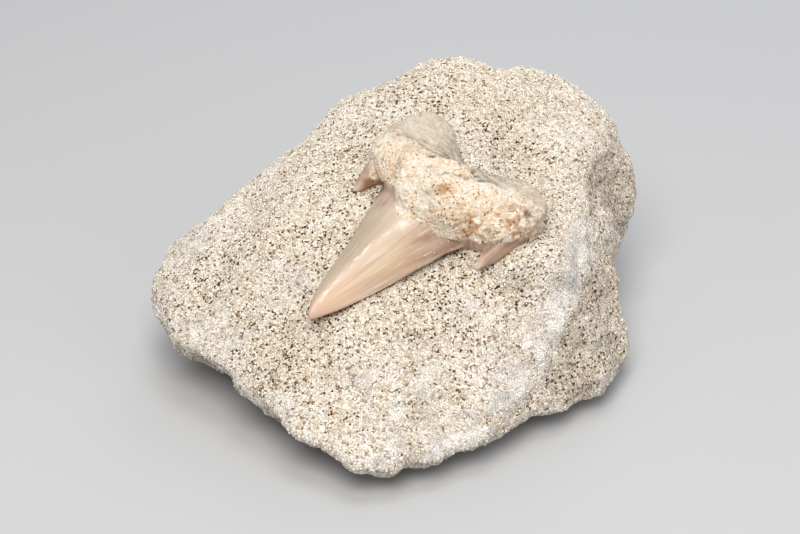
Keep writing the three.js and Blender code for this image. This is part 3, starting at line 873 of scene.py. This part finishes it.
def makeGrains(name, carrier, tree, choice):
    cover, spacing, smallest, largest, sunk, seed = choice
    piece = bpy.data.objects.new(name, carrier.data)
    bpy.context.collection.objects.link(piece)
    scatter = piece.modifiers.new("grains", "NODES")
    scatter.node_group = tree
    values = {"Cover": cover, "Spacing": spacing * mm, "Smallest": smallest * mm,
              "Largest": largest * mm, "Sunk": sunk, "Seed": seed}
    for socket in tree.interface.items_tree:
        if socket.name in values:
            scatter[socket.identifier] = values[socket.name]
    plainMesh(piece)
    piece.data.shade_smooth()
    print(name + ":", len(piece.data.polygons), "faces")
    return piece


# Pieces, the rock first because the tooth gets a painted lit line where it meets the sand

toothShape = solidCopy("tooth")
toothTree = BVHTree.FromBMesh(toothShape)
toothShape.free()
rock = makeRock(toothTree)
rockShape = bmesh.new()
rockShape.from_mesh(rock.data)
tooth = makeTooth(BVHTree.FromBMesh(rockShape))
rockShape.free()
grainNodes = grainTree(looseSand())
grains = [makeGrains(name, rock, grainNodes, choice) for name, choice in grainSets.items()]
grains.append(makeGrains("stuckSand", tooth, grainNodes, stuckGrains))


# Floor, light and camera

stageLook = {
    "floor": "#b9babc",
    "floorSize": 4000,
    "sky": "#eef0f4",
    "skyStrength": 0.4,
    "cameraPlace": (0.138, -329.26, 209.48),
    "cameraTilt": 60,
    "lens": 100,
    # name: place mm, size mm, power W, colour
    "lights": {"key": ((-45, -330, 480), 380, 2.85, "#fffbf5"),
               "top": ((20, 60, 550), 300, 0.9, "#fffdf8"),
               "fill": ((420, -260, 260), 380, 0.45, "#f4f7ff"),
               "back": ((120, 480, 260), 380, 0.7, "#f4f7ff")},
    "aim": (0, -5, 20),
}


def paleFloor():
    # matt paper: no shine, a faint fibre mottle
    material, tree = newMaterial("paleFloor")
    place = addNode(tree, "ShaderNodeTexCoord").outputs["Object"]
    fibre = addNode(tree, "ShaderNodeTexNoise", {"Vector": place, "Scale": every(2), "Detail": 4})
    relief = addNode(tree, "ShaderNodeBump", {
        "Height": fibre.outputs["Fac"], "Strength": 0.05, "Distance": 0.1 * mm})
    surface = addNode(tree, "ShaderNodeBsdfPrincipled", {
        "Base Color": linear(stageLook["floor"]), "Roughness": 0.9, "Normal": relief.outputs[0]})
    addNode(tree, "ShaderNodeOutputMaterial", {"Surface": surface.outputs[0]})
    return material


def makeStage():
    half = stageLook["floorSize"] / 2 * mm
    mesh = bpy.data.meshes.new("floor")
    corners = [(-half, -half, 0), (half, -half, 0), (half, half, 0), (-half, half, 0)]
    mesh.from_pydata(corners, [], [(0, 1, 2, 3)])
    floor = bpy.data.objects.new("floor", mesh)
    mesh.materials.append(paleFloor())
    bpy.context.collection.objects.link(floor)

    aim = Vector(stageLook["aim"]) * mm
    for name, (place, size, power, colour) in stageLook["lights"].items():
        lamp = bpy.data.lights.new(name, "AREA")
        lamp.shape = "DISK"
        lamp.size = size * mm
        lamp.energy = power
        lamp.color = linear(colour)[:3]
        light = bpy.data.objects.new(name, lamp)
        light.location = Vector(place) * mm
        light.rotation_euler = (aim - light.location).to_track_quat("-Z", "Y").to_euler()
        bpy.context.collection.objects.link(light)

    scene = bpy.context.scene
    world = bpy.data.worlds.new("studio")
    world.use_nodes = True
    sky = world.node_tree.nodes["Background"]
    sky.inputs["Color"].default_value = linear(stageLook["sky"])
    sky.inputs["Strength"].default_value = stageLook["skyStrength"]
    scene.world = world
    scene.view_settings.view_transform = "Standard"

    lens = bpy.data.cameras.new("camera")
    lens.lens = stageLook["lens"]
    lens.clip_start = 0.01
    camera = bpy.data.objects.new("camera", lens)
    camera.location = Vector(stageLook["cameraPlace"]) * mm
    camera.rotation_euler = (math.radians(stageLook["cameraTilt"]), 0, 0)
    bpy.context.collection.objects.link(camera)
    scene.camera = camera
    print("stage ready")


makeStage()
for piece in [rock, tooth, *grains]:
    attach(piece, "root")
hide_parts("rock")
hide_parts("tooth")
